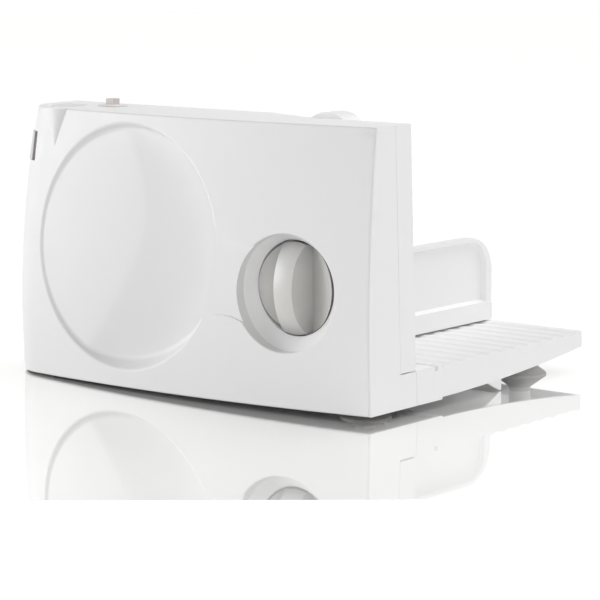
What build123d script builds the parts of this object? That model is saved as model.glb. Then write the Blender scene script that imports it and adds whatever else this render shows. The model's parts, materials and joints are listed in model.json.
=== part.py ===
from build123d import *
import os
from math import asin, cos, degrees, hypot, pi, radians, sin

# An electric food slicer with a fold-out table, in millimetres.
# +X runs along the slab towards the knob end, +Y from the big bowed face towards the
# blade and the table, +Z up. The origin is on the floor under the middle of the whole part.

os.makedirs("parts", exist_ok=True)

# Overall size
length = 387.0
depth = 310.0
wall = 3.0
part_gap = 0.3
running_gap = 0.05
seat_gap = 0.02
overrun = 20.0

# Blade, and the heights that follow from it
blade_radius = 85.0
blade_from_end = 182.0
deck_crest = 33.6
blade_dip = 2.1
top_over_blade = 21.5
blade_height = deck_crest - blade_dip + blade_radius
height = blade_height + blade_radius + top_over_blade

# The slab's outer skin
face_arc_radius = 1348.0
face_crown_from_end = 200.0
face_lean = 16.4
face_lean_start = 25.0
knob_end_lean = 6.5
far_end_lean = 9.5
far_end_foot_inset = 3.0
far_end_belly_height = 60.0
far_end_round = 41.0
front_edges_depth = 60.0
floor_gap_far_end = 1.2
floor_gap_knob_end = 6.5
edge_round = 1.6

# Distances behind the foremost line of the big face
end_wall_depth = 53.9
fence_depth = 73.4
base_split_depth = 74.0
blade_face_depth = 92.7
hood_depth = 93.0
seam_depth = 107.3

# Round dish in the big face: a narrowing wall down to a bowed floor and a flat shoulder
dish_margin = 16.2
dish_mouth_radius = blade_radius + dish_margin
dish_far_margin = 43.3
dish_from_far = dish_mouth_radius + dish_far_margin
dish_mouth_depth = 3.0
dish_mouth_rise = 16.0
dish_mouth_swing = -8.0
dish_narrowing = 18.2
dish_wall_run = 42.0
dish_mouth_share = 0.23
dish_mouth_deepest = 19.0
dish_mouth_round = 2.5
dish_bow_radius = 790.0
dish_bow_crown_from_far = 87.0
dish_bow_depth = 7.6
dish_flat_radius = 543.0
dish_flat_swing = 9.7
dish_flat_depth = 11.6
dish_flat_height = 90.0
dish_crease_round = 40.0
dish_corner_depth = 6.0
dish_corner_round = 4.0

# Knob bowl and the waist that joins it to the dish
bowl_radius = 45.5
bowl_from_end = 78.0
bowl_height = 94.0
bowl_rim_depth = 14.2
bowl_rim_round = 1.0
bowl_well_radius = 37.4
bowl_well_depth = 22.6
bowl_floor_depth = 31.0
waist_depth = 1.6
waist_low_shares = ((0.5106, 0.2960), (0.3404, 0.3251), (0.1702, 0.2794))
waist_high_shares = ((0.0821, 0.6009), (0.2675, 0.5785), (0.4681, 0.6726))
edge_check_shares = (0, 0.25, 0.5, 0.75, 1)

# Deck of base block and table
deck_wave = 1.4
deck_pitch = 18.0
deck_grooves_count = 11
deck_first_valley = 113.0
deck_thickness = 3.0
base_deck_thickness = 6.5
guide_groove_depth = 98.0
guide_groove_width = 4.0
guide_groove_floor = 3.6

# Shelf of the front shell under the fence
shelf_height = 33.2
shelf_start_depth = 51.0

# Blade, its shaft and its lock
blade_thickness = 1.5
blade_bevel = 9.0
blade_edge_thickness = 0.3
blade_serrations = 72
serration_radius = 4.0
serration_bite = 0.9
blade_clearance = 2.0
blade_hole_radius = 8.0
blade_cup_depth = 4.5
blade_cup_radius = 27.0
blade_cup_rim_radius = 33.0
axle_radius = 4.0
axle_start_depth = 37.0
axle_end_depth = 90.0
bush_radius = 7.0
bush_start_depth = 47.5
tower_radius = 13.0
tower_end_depth = 77.0
drive_plate_radius = 26.0
drive_plate_thickness = 6.0
drive_pins = 2
drive_pin_circle = 18.0
drive_pin_radius = 2.5
lock_radius = 22.0
lock_thickness = 2.6
lock_bar_width = 7.0
lock_bar_height = 1.4

# Hood over the blade
hood_thickness = 4.7
hood_end_from_end = 91.0
hood_taper_from_end = 159.0
hood_taper_depth = 24.0
window_drop = 42.0
hood_rim_thickness = 2.5
hood_rim_length = 6.0
hood_post_shares = ((0.2894, 0.9507), (0.5168, 0.9507), (0.9509, 0.5605), (0.9509, 0.8969))
hood_screw_length = 14.0
boss_step = 2.0

# Worm drive and motor
wheel_teeth = 40
wheel_module = 1.5
wheel_width = 6.0
wheel_mid_depth = 43.0
wheel_root_drop = 1.9
wheel_tooth_root = 2.9
wheel_tooth_sink = 0.8
wheel_tooth_angle = 74.0
worm_pitch_radius = 6.0
worm_turns = 6
worm_root_radius = 4.2
worm_thread_tip = 0.9
worm_thread_root = 1.9
thread_sink = 0.4
motor_radius = 17.0
motor_length = 57.0
motor_far_from_far = 37.0
motor_skin = 1.5
motor_end_thickness = 2.5
motor_shaft_radius = 2.5
motor_collar_radius = 6.5
motor_collar_length = 4.0
end_bell_length = 8.0
rotor_air_gap = 1.2
mount_ring_width = 6.0
mount_ring_thickness = 1.5
fan_radius = 14.0
fan_blades = 8
fan_length = 5.0
fan_hub_radius = 5.0
fan_blade_thickness = 1.2
bulge_wall = 2.5
bulge_far_end = 4.0
bulge_near_end = 13.0
shaft_lug_from_end = 160.0
shaft_lug_width = 7.0
shaft_lug_radius = 7.0

# Thickness knob: a dome cut down to an upright grip with a sloping scoop on each side
knob_radius = 36.0
knob_height = 96.7
knob_rim_depth = 21.5
knob_rim_thickness = 8.5
knob_dome = 15.5
knob_shoulder_share = 0.55
knob_shoulder_rise_share = 0.76
knob_ridge_half = 9.0
knob_crease_half = 13.0
knob_crease_sink = 5.5
knob_flank_share = 0.2

# Spindle of the knob and the fence
spindle_radius = 5.0
spindle_end_depth = 69.8
spindle_groove_pitch = 22.8
spindle_groove_turns = 0.95
spindle_groove_radius = 1.2
groove_lead_angle = 20.0
spindle_bush_radius = 7.5
spindle_bush_length = 8.5
nut_radius = 9.0
nut_start_depth = 40.0
nut_peg_depth = 4.0
nut_peg_radius = 0.8
nut_peg_bite = 0.5
fence_lift = 0.5
fence_skin = 3.0
fence_grooves = 14
fence_groove_pitch = 12.0
fence_groove_width = 2.0
fence_groove_cut = 0.6
fence_arc_gap = 5.0
rod_radius = 4.0
rod_start_depth = 28.0
rod_from_end = 34.0
rod_height_shares = (0.2780, 0.7982)
rod_collar_radius = 7.5
rod_collar_length = 8.0

# Controls on the top and the far end
button_radius = 12.9
button_from_far = 40.3
button_depth = 50.9
button_travel = 3.0
button_skirt = 9.0
button_cap_thickness = 2.0
button_skin = 1.8
button_gap = 0.5
button_well_radius = 16.5
button_well_sink = 0.5
stem_radius = 3.0
stem_sink = 0.8
spring_radius = 5.0
spring_wire = 0.4
spring_turns = 5
slide_from_far = 77.5
slide_depth = 66.0
slide_lift = 0.2
slide_base_size = (22.0, 12.0, 1.2)
slide_nub_size = (8.0, 8.0, 4.9)
slide_stem = 4.0
slide_travel = 3.0
slide_pocket = 4.0
bracket_drop = 34.0
bracket_thickness = 3.0
bracket_from_far = (27.0, 95.0)
bracket_depths = (34.0, 82.0)
bracket_post_shares = ((0.9118, 0.25), (0.9118, 0.9375), (0.1176, 0.875))
post_radius = 3.0
post_screw_length = 9.0
notch_gap = 1.0
power_switch_size = (19.0, 14.0, 15.0)
power_switch_shift = 1.9
slide_switch_size = (25.0, 16.0, 20.0)
safety_switch_size = (17.0, 13.0, 11.0)
safety_switch_from_far = 64.0
safety_switch_depth = 38.0
safety_drop = 32.7
safety_tall = 23.0
safety_back_depth = 45.0
safety_slot_gap = 0.5
safety_slot_from_far = 31.0
safety_inner_from_far = 26.0
safety_proud = 1.0
safety_travel = 3.0
safety_stem_radius = 2.5
boss_from_far = 56.0
boss_front_depth = 17.8
boss_radius = 20.0
boss_foot_radius = 2.0
boss_drop = 31.0
board_thickness = 1.6
board_lift = 4.0
board_from_far = (92.0, 162.0)
board_depths = (44.0, 68.0)
board_part_shares = ((0.1429, 0.25), (0.3571, 0.6667), (0.7857, 0.5))
board_part_height = 9.0
board_part_radius = 4.0

# Bottom plate, feet, screws and cord inlet
bottom_plate_low = 9.0
bottom_plate_thickness = 3.0
bottom_plate_end_depth = 104.0
foot_radius = 20.0
foot_lip = 1.2
foot_waist_radius = 9.0
foot_stem_radius = 3.5
foot_neck = 3.0
foot_barb = 1.5
cup_hollow_share = 0.12
front_foot_shares = ((0.0646, 0.3914), (0.9096, 0.4380))
rear_foot_radius = 11.0
rear_foot_shares = ((0.1034, 0.8201), (0.9096, 0.8201))
screw_radius = 1.6
screw_head_radius = 3.2
screw_head_height = 2.0
screw_boss_radius = 4.5
plate_screw_length = 12.0
shelf_screw_shares = ((0.0568, 0.5965), (0.4910, 0.5965), (0.9354, 0.5965))
deck_screw_shares = ((0.1757, 0.8015), (0.4910, 0.7829), (0.8320, 0.8015))
wall_screw_length = 12.0
wall_screw_shares = (
    (0.0465, 0.8969),
    (0.3876, 0.9238),
    (0.3876, 0.2242),
    (0.0465, 0.2063),
    (0.9354, 0.2691),
    (0.9354, 0.4933),
)
inlet_radius = 5.5
inlet_flange_radius = 9.0
inlet_flange_thickness = 2.0
inlet_bore_radius = 3.4
inlet_height = 21.5
inlet_depth = 64.0
inlet_length = 14.0

# Slice outlet in the far end
outlet_low = 38.0
outlet_high = 108.0
outlet_depths = (58.0, 82.0)

# Fold-out table
table_far_gap = 97.0
table_from_end = length - table_far_gap
skirt_seam_height = 8.1
skirt_middle_height = 11.8
skirt_middle_depth = 208.0
skirt_end_height = 21.2
table_edge_round = 3.0
hinge_radius = 4.5
hinge_drop = 4.9
hinge_pin_radius = 1.5
hinge_lug_shares = (0.1586, 0.5, 0.8828)
hinge_lug_width = 14.0
hinge_pin_inset = 8.0
hinge_bar = 9.5
lug_side_gap = 0.5
table_foot_radius = 22.0
table_foot_shares = (0.1207, 0.8793)
table_foot_depth = 266.0
table_foot_top = 14.0
table_foot_post = 9.0
table_stem_length = 6.0
web_near_depth = 166.0
web_far_depth = 193.0
web_foot_height = 1.0
web_head_height = 12.5
web_toe = 3.0
web_thickness = 2.4
web_inset = 3.6

# Carriage
carriage_from_end = 94.0
carriage_wall_thickness = 10.0
carriage_wall_top = 107.7
carriage_wall_foot = 34.9
carriage_near_depth = 95.4
carriage_far_depth = 309.4
carriage_corner = 31.0
carriage_near_corner = 8.0
carriage_band_height = 49.0
carriage_band_proud = 0.6
carriage_rim = 8.0
carriage_rim_top = 3.5
carriage_panel_sink = 3.5
panel_taper = 35.0
platform_length = 120.0
platform_low = 34.3
platform_thickness = 3.0
platform_margin = 4.4
rounded_corners = 2
flange_width = 16.0
flange_thickness = 3.0
flange_screw_shares = (0.1383, 0.4981, 0.8626)
guide_rib_clearance = 0.4
guide_rib_floor_gap = 0.5
runner_peg_radius = 1.2

# Pusher
pusher_front_depth = 106.0
pusher_plate_thickness = 3.0
pusher_plate_from_end = (222.0, 104.6)
pusher_plate_heights = (41.0, 118.0)
pusher_corner = 10.0
pusher_grip_length = 18.0
pusher_arch_radius = 28.0
pusher_arch_from_end = 113.8
pusher_top = 224.6
pusher_skin = 3.0
pusher_shoulder = 72.0
pusher_leg_foot = 86.0
pusher_saddle_gap = 0.5
pusher_pin_radius = 0.9
pusher_pin_length = 4.0
pusher_pin_row_shares = (0.1688, 0.3766, 0.5844)
pusher_pin_column_shares = (0.1874, 0.4003, 0.6133, 0.8262)

# Worked out from the sizes above
knob_end_x = length / 2
far_end_x = -length / 2
face_y = -depth / 2
shell_end_y = face_y + end_wall_depth
fence_y = face_y + fence_depth
base_split_y = face_y + base_split_depth
hood_y = face_y + hood_depth
seam_y = face_y + seam_depth
table_end_y = depth / 2
shell_back_y = hood_y - hood_thickness - part_gap
blade_x = knob_end_x - blade_from_end
knob_x = knob_end_x - bowl_from_end
dish_x = far_end_x + dish_from_far
hood_x = knob_end_x - hood_end_from_end
taper_x = knob_end_x - hood_taper_from_end
deck_valley = deck_crest - deck_wave
hinge_y = seam_y + part_gap + hinge_radius
hinge_z = deck_crest - hinge_drop
wheel_pitch_radius = wheel_module * wheel_teeth / 2
worm_z = blade_height + wheel_pitch_radius + worm_pitch_radius
worm_y = face_y + wheel_mid_depth


def from_end(distance):
    """X of a place that lies this far from the knob end."""
    return knob_end_x - distance


def from_far(distance):
    """X of a place that lies this far from the far end."""
    return far_end_x + distance


def behind(distance):
    """Y of a place that lies this far behind the foremost line of the face."""
    return face_y + distance


def between(low, high, share):
    """Value that lies this share of the way from low to high."""
    return low + share * (high - low)


def face_places(shares):
    """Places on the face, as shares of the length from the knob end and of the height."""
    return [(from_end(length * along), height * up) for along, up in shares]


def floor_places(shares):
    """Places on the floor, as shares of the length from the knob end and of the slab's depth."""
    return [(from_end(length * along), behind(seam_depth * back)) for along, back in shares]


def plan_places(shares, from_far_limits, depth_limits):
    """Places on the floor plan, as shares of a span along X and of a span of depths."""
    return [
        (from_far(between(*from_far_limits, along)), behind(between(*depth_limits, back)))
        for along, back in shares
    ]


def at_y(y):
    """Upright plane along the slab at this Y, with its normal towards -Y."""
    return Plane.XZ.offset(-y)


def cut(tool):
    """Takes a tool away from the part being built."""
    add(tool, mode=Mode.SUBTRACT)


def block(x_low, x_high, y_low, y_high, z_low, z_high):
    """Box between two values on each axis."""
    with BuildPart() as solid:
        with Locations(((x_low + x_high) / 2, (y_low + y_high) / 2, (z_low + z_high) / 2)):
            Box(x_high - x_low, y_high - y_low, z_high - z_low)
    return solid.part


def bar(start, end, radius):
    """Round bar between two points."""
    run = Vector(end) - Vector(start)
    with BuildPart() as solid:
        with BuildSketch(Plane(origin=start, z_dir=run)):
            Circle(radius)
        extrude(amount=run.length)
    return solid.part


def deep_bar(x, z, radius, near, far):
    """Round bar along Y between two distances behind the face line."""
    return bar((x, behind(near), z), (x, behind(far), z), radius)


def blade_bar(radius, near, far):
    """Round bar on the blade's axis between two distances behind the face line."""
    return deep_bar(blade_x, blade_height, radius, near, far)


def knob_bar(radius, near, far):
    """Round bar on the knob's axis between two distances behind the face line."""
    return deep_bar(knob_x, knob_height, radius, near, far)


def motor_bar(x_start, x_end, radius):
    """Round bar on the motor's axis."""
    return bar((x_start, worm_y, worm_z), (x_end, worm_y, worm_z), radius)


def hinge_axis_bar(x_start, x_end, radius):
    """Round bar on the table's hinge axis."""
    return bar((x_start, hinge_y, hinge_z), (x_end, hinge_y, hinge_z), radius)


def post(x, y, low, high, radius):
    """Upright round bar between two heights."""
    return bar((x, y, low), (x, y, high), radius)


def slab_outline(inset, drop):
    """The slab as seen along Y: leaning ends, a bellied far end and a sloping foot."""
    top = height - inset
    foot_far = (far_end_x + far_end_foot_inset + inset, floor_gap_far_end - drop)
    belly = (far_end_x + inset, far_end_belly_height)
    top_far = (far_end_x + far_end_lean + inset, top)
    top_knob = (knob_end_x - knob_end_lean - inset, top)
    foot_knob = (knob_end_x - inset, floor_gap_knob_end - drop)
    with BuildSketch(at_y(face_y - overrun)) as outline:
        with BuildLine():
            Polyline(top_far, top_knob, foot_knob, foot_far)
            ThreePointArc(foot_far, belly, top_far)
        make_face()
    return outline.sketch


def bowed_ring(crown_x, arc_radius, set_back, inset):
    """Ring about an upright axis whose outside is a bowed face, leaning back at the top."""
    axis_y = face_y + set_back + arc_radius
    radius = arc_radius - inset
    reach = max(knob_end_x - crown_x, crown_x - far_end_x) + overrun
    half_sweep = degrees(asin(reach / radius))
    start = radians(-90 - half_sweep)
    section = Plane(
        origin=(crown_x, axis_y, 0),
        x_dir=(cos(start), sin(start), 0),
        z_dir=(sin(start), -cos(start), 0),
    )
    ring_thickness = seam_depth + 2 * overrun
    with BuildPart() as ring:
        with BuildSketch(section):
            with BuildLine():
                foot = Line((radius - ring_thickness, -overrun), (radius, -overrun))
                skirt = Line(foot @ 1, (radius, face_lean_start))
                lean = TangentArc(skirt @ 1, (radius - face_lean, height), tangent=skirt % 1)
                head = Line(lean @ 1, (radius - face_lean, height + overrun))
                Polyline(head @ 1, (radius - ring_thickness, height + overrun), foot @ 0)
            make_face()
        revolve(axis=Axis((crown_x, axis_y, 0), (0, 0, 1)), revolution_arc=2 * half_sweep)
    return ring.part


def face_ring(inset):
    """The bowed ring of the big face."""
    return bowed_ring(from_end(face_crown_from_end), face_arc_radius, 0, inset)


def slab_form(inset, drop):
    """Solid slab drawn inset from the outer skin, reaching back past the seam."""
    outline = slab_outline(inset, drop)
    ring = face_ring(inset)
    with BuildPart() as form:
        extrude(to_extrude=outline, amount=-(seam_depth + 2 * overrun))
        add(ring, mode=Mode.INTERSECT)
        near_far_end = form.edges().filter_by(
            lambda edge: edge.center().X < far_end_x + far_end_round
            and edge.center().Y < face_y + far_end_round
            and edge.length > height / 2
        )
        fillet(near_far_end, far_end_round - inset)
        if inset < edge_round:
            front_edges = form.edges().filter_by(
                lambda edge: edge.center().Y < face_y + far_end_round + wall
                and edge.bounding_box().max.Y < face_y + front_edges_depth
            )
            fillet(front_edges, edge_round)
    return form.part


def dish_plane(set_back):
    """Plane facing -Y on the dish's tipped axis, so that Y grows with height."""
    turn = dish_mouth_swing / (2 * dish_mouth_radius)
    tip = dish_mouth_rise / (2 * dish_mouth_radius)
    origin = (dish_x, behind(dish_mouth_depth + set_back), blade_height)
    return Plane(origin=origin, x_dir=(1, turn, 0), z_dir=(turn, -1, tip))


def dish_tool(grow):
    """The space that the dish takes, grown on all sides for the skin behind it."""
    turn = radians(dish_flat_swing)
    roll_reach = Vector(cos(turn), sin(turn), 0) * (length + overrun)
    roll_middle = Vector(dish_x, behind(dish_flat_depth + dish_flat_radius / cos(turn)), dish_flat_height)
    roll = bar(roll_middle - roll_reach, roll_middle + roll_reach, dish_flat_radius - grow)
    behind_floor = bowed_ring(from_far(dish_bow_crown_from_far), dish_bow_radius, dish_bow_depth, grow) & roll
    with BuildPart() as tool:
        with BuildSketch(dish_plane(0)) as mouth:
            Circle(dish_mouth_radius + grow)
        with BuildSketch(dish_plane(dish_wall_run)) as narrow_end:
            Circle(dish_mouth_radius - dish_narrowing + grow)
        loft(sections=[mouth.sketch, narrow_end.sketch], ruled=True)
        extrude(to_extrude=mouth.sketch, amount=dish_mouth_depth + 2 * overrun, dir=(0, -1, 0))
        cut(behind_floor)
        roll_edges = tool.faces().filter_by(GeomType.CYLINDER).edges()
        bow_edges = tool.faces().filter_by(GeomType.REVOLUTION).edges()
        fillet(roll_edges.filter_by(lambda edge: edge in bow_edges), dish_crease_round)
        narrowing_wall = tool.faces().filter_by(GeomType.BSPLINE).sort_by(SortBy.AREA)[-1]
        corners = narrowing_wall.edges().filter_by(
            lambda edge: edge.length > wall and edge.bounding_box().min.Y > behind(dish_corner_depth)
        )
        fillet(corners, dish_corner_round)
    return tool.part


def bowl_tool(grow):
    """The space that the knob's bowl takes, with a straight well behind the knob."""
    with BuildPart() as tool:
        with BuildSketch(at_y(behind(bowl_rim_depth + grow))) as rim:
            with Locations((knob_x, bowl_height)):
                Circle(bowl_radius + grow)
        with BuildSketch(at_y(behind(bowl_well_depth + grow))) as well:
            with Locations((knob_x, knob_height)):
                Circle(bowl_well_radius + grow)
        loft(sections=[rim.sketch, well.sketch], ruled=True)
        extrude(to_extrude=rim.sketch, amount=bowl_rim_depth + 2 * overrun)
        extrude(to_extrude=well.sketch, amount=-(bowl_floor_depth - bowl_well_depth))
    return tool.part


def waist_tool():
    """The shallow waist between dish and bowl, as a prism through the face."""
    low_points, high_points = (
        [(between(knob_x, dish_x, along), height * up) for along, up in shares]
        for shares in (waist_low_shares, waist_high_shares)
    )
    with BuildPart() as tool:
        with BuildSketch(at_y(face_y - overrun)):
            with BuildLine():
                low = ThreePointArc(*low_points)
                Line(low @ 1, high_points[0])
                high = ThreePointArc(*high_points)
                Line(high @ 1, low @ 0)
            make_face()
        extrude(amount=-(seam_depth / 2))
    return tool.part


def mouth_edges(part, centre_x, centre_z, low, high, deepest):
    """Curved edges that keep between two distances from an axis along Y, near the face."""
    def keeps(edge):
        reaches = [
            hypot((edge @ share).X - centre_x, (edge @ share).Z - centre_z) for share in edge_check_shares
        ]
        return min(reaches) > low and max(reaches) < high

    return part.edges().filter_by(
        lambda edge: edge.geom_type == GeomType.BSPLINE
        and edge.length > part_gap
        and edge.bounding_box().max.Y < behind(deepest)
        and keeps(edge)
    )


def slab_slice(inset, drop, near, far, low, high):
    """The slab's end outline between two distances behind the face line and two heights."""
    outline = slab_outline(inset, drop)
    limits = block(far_end_x - overrun, knob_end_x + overrun, behind(near), behind(far), low, high)
    with BuildPart() as form:
        extrude(to_extrude=outline, amount=-(depth + 2 * overrun))
        add(limits, mode=Mode.INTERSECT)
    return form.part


def hood_post_end(x):
    """How deep a hood post reaches, so that it ends inside the hood's plate."""
    taper = max(0, x - taper_x) / (hood_x - taper_x)
    return hood_depth - hood_thickness / 2 - taper * hood_taper_depth


def screw(seat, tip):
    """Screw whose head bears at the seat and whose shank ends at the tip."""
    direction = (Vector(tip) - Vector(seat)).normalized()
    head_top = Vector(seat) - direction * screw_head_height
    socket_floor = Vector(seat) - direction * screw_head_height / 2
    with BuildPart() as solid:
        add(bar(seat, tip, screw_radius))
        add(bar(head_top, seat, screw_head_radius))
        cut(bar(head_top, socket_floor, screw_radius))
    return solid.part


def deck_grooves(first, count):
    """Shallow round grooves along the slab that leave the deck's ribs between them."""
    flat = 2 * edge_round
    half_chord = (deck_pitch - flat) / 2
    groove_radius = (half_chord**2 + deck_wave**2) / (2 * deck_wave)
    with BuildPart() as grooves:
        for index in range(count):
            y = behind(first + index * deck_pitch)
            z = deck_valley + groove_radius
            add(bar((far_end_x - overrun, y, z), (knob_end_x + overrun, y, z), groove_radius))
    return grooves.part


outer_form = slab_form(0, 0)
inner_form = slab_form(wall, part_gap)
dish_space = dish_tool(0)
dish_skin = dish_tool(wall)
bowl_space = bowl_tool(0)
bowl_skin = bowl_tool(wall)
waist_space = waist_tool() - face_ring(waist_depth)

x_out_low = far_end_x - overrun
x_out_high = knob_end_x + overrun
deck_clear = deck_crest + part_gap
window_height = height - window_drop
bottom_plate_top = bottom_plate_low + bottom_plate_thickness
wall_back = end_wall_depth
wall_front = end_wall_depth - wall
motor_far_x = from_far(motor_far_from_far)
motor_near_x = motor_far_x + motor_length
ring_radius = motor_radius + mount_ring_thickness
button_x = from_far(button_from_far)
button_y = behind(button_depth)
slide_x = from_far(slide_from_far)
slide_y = behind(slide_depth)
bracket_top = height - bracket_drop
safety_height = height - safety_drop
safety_z = bracket_top + part_gap + safety_switch_size[2] / 2
shelf_under = shelf_height - wall
inlet_y = behind(inlet_depth)
inlet_seat_x = far_end_x + inlet_flange_thickness
wall_screw_places = face_places(wall_screw_shares)
hood_post_places = face_places(hood_post_shares)
shelf_screw_places = floor_places(shelf_screw_shares)
deck_screw_places = floor_places(deck_screw_shares)
front_foot_places = floor_places(front_foot_shares)
rear_foot_places = floor_places(rear_foot_shares)
bracket_post_places = plan_places(bracket_post_shares, bracket_from_far, bracket_depths)
board_part_places = plan_places(board_part_shares, board_from_far, board_depths)
rod_places = [(from_end(rod_from_end), height * share) for share in rod_height_shares]
hinge_lug_places = [from_end(table_from_end * share) for share in hinge_lug_shares]
table_foot_places = [
    (from_end(table_from_end * share), behind(table_foot_depth)) for share in table_foot_shares
]

# Front shell: face, top and both ends, with the shelf under the fence
with BuildPart() as face_form:
    add(outer_form)
    cut(dish_space)
    dish_mouth = mouth_edges(
        face_form.part,
        dish_x,
        blade_height,
        dish_mouth_radius - dish_narrowing * dish_mouth_share,
        dish_mouth_radius + part_gap,
        dish_mouth_deepest,
    )
    fillet(dish_mouth, dish_mouth_round)
    cut(bowl_space)
    bowl_rim = mouth_edges(
        face_form.part, knob_x, bowl_height, bowl_radius - part_gap, bowl_radius + part_gap, bowl_rim_depth
    )
    fillet(bowl_rim, bowl_rim_round)
    cut(waist_space)

# Upright bulge in the face below the round button
boss_x = from_far(boss_from_far)
with BuildPart() as button_bulge:
    with BuildSketch(Plane.XY.offset(height - boss_drop)) as bulge_foot:
        with Locations((boss_x, behind(boss_front_depth + boss_foot_radius))):
            Circle(boss_foot_radius)
    with BuildSketch(Plane.XY.offset(height)) as bulge_head:
        with Locations((boss_x, behind(boss_front_depth + boss_radius))):
            Circle(boss_radius)
    loft(sections=[bulge_foot.sketch, bulge_head.sketch], ruled=True)

with BuildPart() as shell_space:
    with BuildSketch(Plane.XY.offset(shelf_height)):
        with BuildLine():
            Polyline(
                (x_out_high, face_y - overrun),
                (x_out_high, shell_end_y),
                (hood_x, shell_end_y),
                (hood_x, shell_back_y - hood_taper_depth),
                (taper_x, shell_back_y),
                (x_out_low, shell_back_y),
                (x_out_low, face_y - overrun),
                close=True,
            )
        make_face()
    extrude(amount=height)
    cut(block(x_out_low, x_out_high, base_split_y, hood_y + overrun, shelf_height - wall, deck_clear))
    add(block(x_out_low, x_out_high, face_y - overrun, base_split_y, -overrun, shelf_height))

with BuildPart() as shell_hollow:
    add(inner_form)
    cut(dish_skin)
    cut(bowl_skin)
    cut(block(x_out_low, x_out_high, behind(shelf_start_depth), base_split_y, shelf_under, shelf_height))
    for x, z in wall_screw_places:
        cut(deep_bar(x, z, screw_boss_radius, 0, wall_front - part_gap))
    for x, y in bracket_post_places:
        cut(post(x, y, bracket_top + part_gap, height, post_radius))
    for x, y in shelf_screw_places:
        cut(post(x, y, bottom_plate_top + part_gap, shelf_height, screw_boss_radius))

with BuildPart() as front_shell:
    add(face_form.part)
    add(button_bulge.part)
    add(shell_space.part, mode=Mode.INTERSECT)
    cut(shell_hollow.part)
    cut(knob_bar(spindle_bush_radius + seat_gap, 0, bowl_floor_depth + overrun))
    # Well and bore of the round button
    cut(post(button_x, button_y, height - button_well_sink, height + wall, button_well_radius))
    cut(post(button_x, button_y, height - 2 * wall, height + wall, button_radius + button_gap))
    # Slot of the slide switch
    half_slot = slide_stem / 2 + slide_travel + part_gap
    slot_half_width = slide_stem / 2 + part_gap
    cut(
        block(
            slide_x - half_slot,
            slide_x + half_slot,
            slide_y - slot_half_width,
            slide_y + slot_half_width,
            height - 2 * wall,
            height + wall,
        )
    )
    # Opening of the safety button
    safety_low = safety_height - safety_tall / 2
    safety_high = safety_height + safety_tall / 2
    cut(
        block(
            x_out_low,
            from_far(safety_slot_from_far),
            face_y,
            behind(safety_back_depth + safety_slot_gap),
            safety_low - safety_slot_gap,
            safety_high + safety_slot_gap,
        )
    )
    # Slice outlet and cord inlet in the far end
    cut(
        block(
            x_out_low,
            far_end_x + overrun,
            behind(outlet_depths[0]),
            behind(outlet_depths[1]),
            outlet_low,
            outlet_high,
        )
    )
    cut(
        bar(
            (x_out_low, inlet_y, inlet_height),
            (inlet_seat_x, inlet_y, inlet_height),
            inlet_flange_radius + part_gap,
        )
    )
    cut(
        bar(
            (x_out_low, inlet_y, inlet_height),
            (far_end_x + overrun, inlet_y, inlet_height),
            inlet_radius + seat_gap,
        )
    )
    for x, z in wall_screw_places:
        cut(deep_bar(x, z, screw_radius + seat_gap, wall_back - wall_screw_length, wall_back))
    for x, y in bracket_post_places:
        cut(post(x, y, bracket_top - wall, bracket_top + post_screw_length, screw_radius + seat_gap))
    for x, y in shelf_screw_places:
        cut(
            post(
                x,
                y,
                bottom_plate_low,
                bottom_plate_low + plate_screw_length + part_gap,
                screw_radius + seat_gap,
            )
        )
front_shell.part.label = "front_shell"

bulge_far_x = motor_far_x - bulge_far_end
bulge_near_x = motor_near_x + bulge_near_end

# Inner wall: carries the blade, the motor, the worm drive and the fence guides
with BuildPart() as inner_wall:
    add(slab_form(wall + part_gap, 0))
    add(
        block(
            x_out_low, x_out_high, behind(wall_front), behind(wall_back), shelf_height + part_gap, height
        ),
        mode=Mode.INTERSECT,
    )
    add(blade_bar(tower_radius, bush_start_depth, tower_end_depth))
    add(motor_bar(bulge_far_x, bulge_near_x, ring_radius + bulge_wall))
    add(
        block(
            from_end(shaft_lug_from_end) - shaft_lug_width / 2,
            from_end(shaft_lug_from_end) + shaft_lug_width / 2,
            worm_y,
            behind(wall_back),
            worm_z - shaft_lug_radius,
            worm_z + shaft_lug_radius,
        )
    )
    add(
        motor_bar(
            from_end(shaft_lug_from_end) - shaft_lug_width / 2,
            from_end(shaft_lug_from_end) + shaft_lug_width / 2,
            shaft_lug_radius,
        )
    )
    for x, z in rod_places:
        add(deep_bar(x, z, rod_collar_radius, wall_back - rod_collar_length, wall_back))
    for x, z in hood_post_places:
        add(deep_bar(x, z, screw_boss_radius, wall_front, wall_back + boss_step))
    cut(motor_bar(bulge_far_x + bulge_wall, bulge_near_x - bulge_wall, ring_radius + seat_gap))
    cut(
        block(
            bulge_far_x - part_gap,
            bulge_near_x + part_gap,
            face_y,
            behind(wall_front),
            worm_z - motor_radius - overrun,
            worm_z + motor_radius + overrun,
        )
    )
    cut(
        block(
            from_far(bracket_from_far[0]) - notch_gap,
            from_far(bracket_from_far[1]) + notch_gap,
            behind(wall_front) - wall,
            behind(wall_back) + boss_step / 2,
            bracket_top - bracket_thickness - screw_head_height - part_gap,
            height,
        )
    )
    cut(blade_bar(bush_radius + seat_gap, bush_start_depth - wall, tower_end_depth + wall))
    cut(knob_bar(nut_radius + part_gap, wall_front - wall, wall_back + wall))
    cut(
        motor_bar(
            from_end(shaft_lug_from_end + shaft_lug_width),
            from_end(shaft_lug_from_end - shaft_lug_width),
            motor_shaft_radius + running_gap,
        )
    )
    for x, z in rod_places:
        cut(deep_bar(x, z, rod_radius + running_gap, wall_front - rod_collar_length, wall_back + wall))
    for x, z in wall_screw_places:
        cut(deep_bar(x, z, screw_radius + seat_gap, wall_front - wall, wall_back + wall))
    for x, z in hood_post_places:
        cut(deep_bar(x, z, screw_radius + seat_gap, wall_front - wall, wall_back + 2 * boss_step))
inner_wall.part.label = "inner_wall"

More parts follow.
